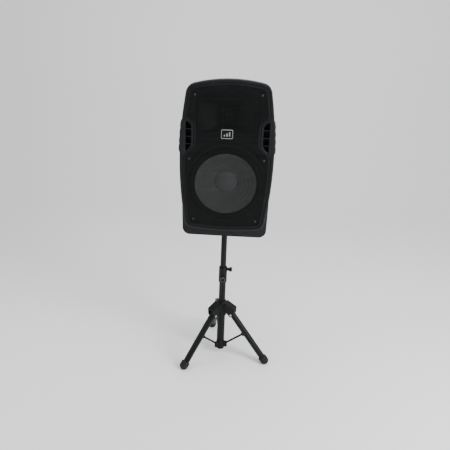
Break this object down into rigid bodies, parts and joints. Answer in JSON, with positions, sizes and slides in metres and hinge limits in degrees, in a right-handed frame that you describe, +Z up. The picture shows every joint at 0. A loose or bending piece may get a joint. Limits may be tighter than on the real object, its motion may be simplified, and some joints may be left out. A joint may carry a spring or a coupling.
{
  "type": "pa speaker",
  "caption": "Two-way powered loudspeaker in a moulded cabinet with side handles, on a folding tripod stand with a telescopic pole.",
  "frame": {"origin": "middle of the whole object's box, on the floor", "axes": "+Z up, the grille faces -Y, +X to the right of someone who faces the grille"},
  "size_m": [0.4796, 0.4646, 1.493],
  "materials": {
    "cabinet_plastic": "textured black",
    "grille_steel": "perforated, powder coated satin black",
    "handle_plastic": "black, fine grain",
    "bright_steel": "zinc plated",
    "badge_aluminium": "brushed",
    "basket_alloy": "cast, painted black",
    "ferrite": "matt grey black",
    "cone_paper": "pressed paper pulp, dark grey",
    "surround_rubber": "matt black",
    "horn_plastic": "satin black",
    "panel_steel": "satin black",
    "control_plastic": "satin black",
    "board_laminate": "green laminate",
    "transformer_core": "varnished laminations and copper",
    "tube_steel": "gloss black powder coat",
    "stand_plastic": "glass filled nylon, black",
    "foot_rubber": "matt grey black"
  },
  "bodies": {
    "column": {"base_tube": "tube_steel", "column_sleeve": "stand_plastic", "bottom_collar": "stand_plastic", "clamp_collar": "stand_plastic"},
    "hub": {"hub": "stand_plastic", "leg_pivot_1": "bright_steel", "leg_pivot_2": "bright_steel", "leg_pivot_3": "bright_steel"},
    "leg_1": {"leg_1": "tube_steel", "foot_1": "foot_rubber"},
    "brace_1": {"brace_1": "tube_steel"},
    "leg_2": {"leg_2": "tube_steel", "foot_2": "foot_rubber"},
    "brace_2": {"brace_2": "tube_steel"},
    "leg_3": {"leg_3": "tube_steel", "foot_3": "foot_rubber"},
    "brace_3": {"brace_3": "tube_steel"},
    "hub_knob": {"hub_knob": "stand_plastic"},
    "clamp_knob": {"clamp_knob": "stand_plastic"},
    "safety_pin": {"safety_pin": "bright_steel"},
    "pole": {"upper_tube": "tube_steel"},
    "pole_sleeve": {"pole_sleeve": "stand_plastic"},
    "cabinet": {"amp_panel": "panel_steel", "badge": "badge_aluminium", "circuit_board": "board_laminate", "compression_driver": "ferrite", "front_shell": "cabinet_plastic", "grille": "grille_steel", "grille_screw_1": "bright_steel", "grille_screw_2": "bright_steel", "grille_screw_3": "bright_steel", "grille_screw_4": "bright_steel", "grille_screw_5": "bright_steel", "grille_screw_6": "bright_steel", "handle_left": "handle_plastic", "handle_right": "handle_plastic", "horn_flare": "horn_plastic", "line_jack": "control_plastic", "media_player": "control_plastic", "mic_jack": "control_plastic", "pole_socket": "stand_plastic", "power_inlet": "control_plastic", "rear_shell": "cabinet_plastic", "spider": "surround_rubber", "transformer": "transformer_core", "woofer_basket": "basket_alloy", "woofer_magnet": "ferrite", "woofer_surround": "surround_rubber"},
    "cone": {"woofer_cone": "cone_paper", "voice_coil": "transformer_core", "dust_cap": "cone_paper"},
    "mic_knob": {"mic_knob": "control_plastic"},
    "line_knob": {"line_knob": "control_plastic"},
    "bass_knob": {"bass_knob": "control_plastic"},
    "treble_knob": {"treble_knob": "control_plastic"},
    "power_rocker": {"power_rocker": "control_plastic"},
    "media_button_1": {"media_button_1": "control_plastic"},
    "media_button_2": {"media_button_2": "control_plastic"},
    "media_button_3": {"media_button_3": "control_plastic"}
  },
  "joints": [
    {"name": "hub_slide", "type": "slide", "parent": "column", "child": "hub", "axis": [0, 0, 1], "range_m": [0, 0.0545]},
    {"name": "leg_1_fold", "type": "hinge", "parent": "hub", "child": "leg_1", "pos_m": [-0.03935, 0.02268, 0.265], "axis": [-0.9711, -0.2385, 0], "range_deg": [0, 38.4]},
    {"name": "brace_1_fold", "type": "hinge", "parent": "leg_1", "child": "brace_1", "pos_m": [-0.05418, 0.08305, 0.14998], "axis": [0.9711, 0.2385, 0], "range_deg": [0, 84.1]},
    {"name": "leg_2_fold", "type": "hinge", "parent": "hub", "child": "leg_2", "pos_m": [-0.0682, -0.07662, 0.265], "axis": [0.6921, -0.7218, 0], "range_deg": [0, 38.4]},
    {"name": "brace_2_fold", "type": "hinge", "parent": "leg_2", "child": "brace_2", "pos_m": [-0.11307, -0.11965, 0.14998], "axis": [-0.6921, 0.7218, 0], "range_deg": [0, 84.1]},
    {"name": "leg_3_fold", "type": "hinge", "parent": "hub", "child": "leg_3", "pos_m": [0.03222, -0.05196, 0.265], "axis": [0.279, 0.9603, 0], "range_deg": [0, 38.4]},
    {"name": "brace_3_fold", "type": "hinge", "parent": "leg_3", "child": "brace_3", "pos_m": [0.09192, -0.0693, 0.14998], "axis": [-0.279, -0.9603, 0], "range_deg": [0, 84.1]},
    {"name": "hub_knob_turn", "type": "hinge", "parent": "hub", "child": "hub_knob", "pos_m": [0.00029, -0.01094, 0.293], "axis": [0.7218, 0.6921, 0], "range_deg": [0, 360]},
    {"name": "clamp_knob_turn", "type": "hinge", "parent": "column", "child": "clamp_knob", "pos_m": [0.00539, -0.0353, 0.5195], "axis": [1, 0, 0], "range_deg": [0, 360]},
    {"name": "safety_pin_pull", "type": "slide", "parent": "column", "child": "safety_pin", "axis": [0, -1, 0], "range_m": [0, 0.05]},
    {"name": "pole_height", "type": "slide", "parent": "column", "child": "pole", "axis": [0, 0, 1], "range_m": [0, 0.2]},
    {"name": "cabinet_swivel", "type": "hinge", "parent": "pole", "child": "pole_sleeve", "pos_m": [-0.02511, -0.0353, 0.757], "axis": [0, 0, 1], "continuous": true},
    {"name": "cabinet_lift", "type": "slide", "parent": "pole_sleeve", "child": "cabinet", "axis": [0, 0, 1], "range_m": [0, 0.11]},
    {"name": "cone_travel", "type": "slide", "parent": "cabinet", "child": "cone", "axis": [0, -1, 0], "range_m": [-0.006, 0.006], "stiffness_N_per_m": 3000},
    {"name": "mic_level", "type": "hinge", "parent": "cabinet", "child": "mic_knob", "pos_m": [-0.08511, 0.1425, 1.112], "axis": [0, 1, 0], "range_deg": [-150, 150]},
    {"name": "line_level", "type": "hinge", "parent": "cabinet", "child": "line_knob", "pos_m": [-0.04511, 0.1425, 1.112], "axis": [0, 1, 0], "range_deg": [-150, 150]},
    {"name": "bass_tone", "type": "hinge", "parent": "cabinet", "child": "bass_knob", "pos_m": [-0.00511, 0.1425, 1.112], "axis": [0, 1, 0], "range_deg": [-150, 150]},
    {"name": "treble_tone", "type": "hinge", "parent": "cabinet", "child": "treble_knob", "pos_m": [0.03489, 0.1425, 1.112], "axis": [0, 1, 0], "range_deg": [-150, 150]},
    {"name": "power_switch", "type": "hinge", "parent": "cabinet", "child": "power_rocker", "pos_m": [0.01989, 0.1425, 1.058], "axis": [1, 0, 0], "range_deg": [0, 12]},
    {"name": "media_button_1_press", "type": "slide", "parent": "cabinet", "child": "media_button_1", "axis": [0, -1, 0], "range_m": [0, 0.0012], "stiffness_N_per_m": 200},
    {"name": "media_button_2_press", "type": "slide", "parent": "cabinet", "child": "media_button_2", "axis": [0, -1, 0], "range_m": [0, 0.0012], "stiffness_N_per_m": 200},
    {"name": "media_button_3_press", "type": "slide", "parent": "cabinet", "child": "media_button_3", "axis": [0, -1, 0], "range_m": [0, 0.0012], "stiffness_N_per_m": 200}
  ],
  "couplings": [
    {"joint": "leg_1_fold", "follows": "hub_slide", "rad_per_m": 12.254},
    {"joint": "brace_1_fold", "follows": "hub_slide", "rad_per_m": 26.888},
    {"joint": "leg_2_fold", "follows": "hub_slide", "rad_per_m": 12.254},
    {"joint": "brace_2_fold", "follows": "hub_slide", "rad_per_m": 26.888},
    {"joint": "leg_3_fold", "follows": "hub_slide", "rad_per_m": 12.254},
    {"joint": "brace_3_fold", "follows": "hub_slide", "rad_per_m": 26.888}
  ]
}
